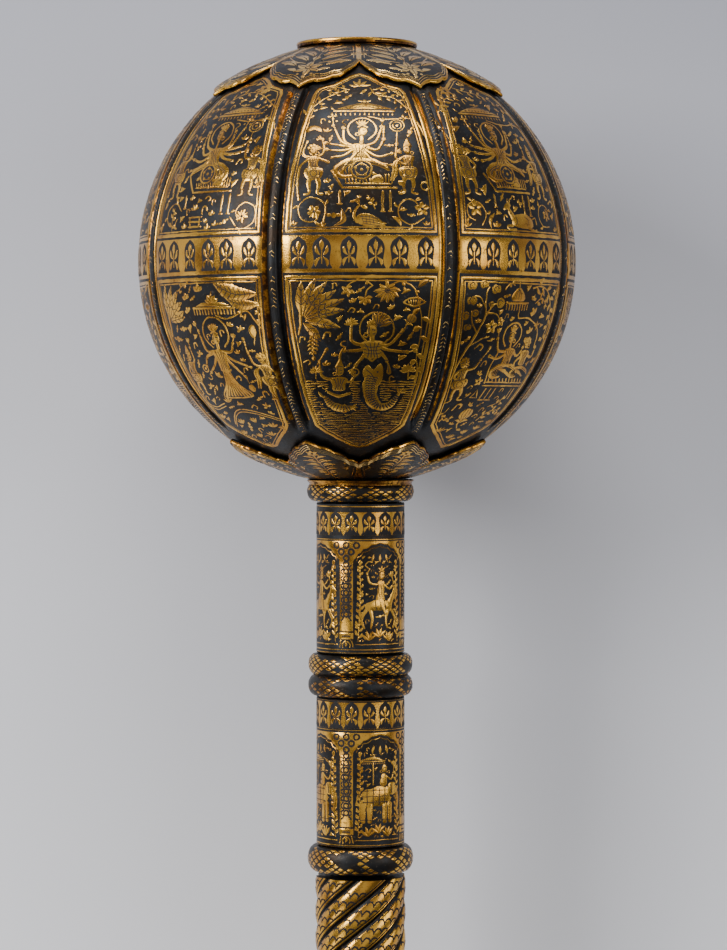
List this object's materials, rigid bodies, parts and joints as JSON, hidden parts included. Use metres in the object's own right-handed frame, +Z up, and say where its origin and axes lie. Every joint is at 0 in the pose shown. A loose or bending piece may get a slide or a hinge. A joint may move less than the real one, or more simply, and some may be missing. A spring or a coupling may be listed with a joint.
{
  "type": "ceremonial mace",
  "caption": "Ceremonial mace lying on its side: a ribbed globular head with scalloped plates, a slim ringed haft of sleeves and twisted strands, and a small lobed pommel.",
  "frame": {"origin": "middle of the footprint, on the floor that the mace lies on", "axes": "+Y from the pommel towards the head, +Z up from the floor, +X to the right seen from above with the head away from you"},
  "size_m": [0.1, 0.664, 0.0996],
  "materials": {
    "blued_steel": "forged steel, blued nearly black and polished, a little worn",
    "laid_gold": "gold leaf laid on cross-hatched steel and burnished, worn brown in places"
  },
  "bodies": {
    "root": {"head_globe": "blued_steel", "upper_calotte": "blued_steel", "lower_calotte": "blued_steel", "crown_ring": "laid_gold", "neck_collar": "laid_gold", "upper_sleeve": "laid_gold", "double_ring": "blued_steel", "lower_sleeve": "laid_gold", "single_ring": "blued_steel", "twisted_haft": "laid_gold", "grip_double_ring": "blued_steel", "grip_sleeve": "blued_steel", "end_ring": "blued_steel", "pommel": "blued_steel"}
  },
  "joints": []
}
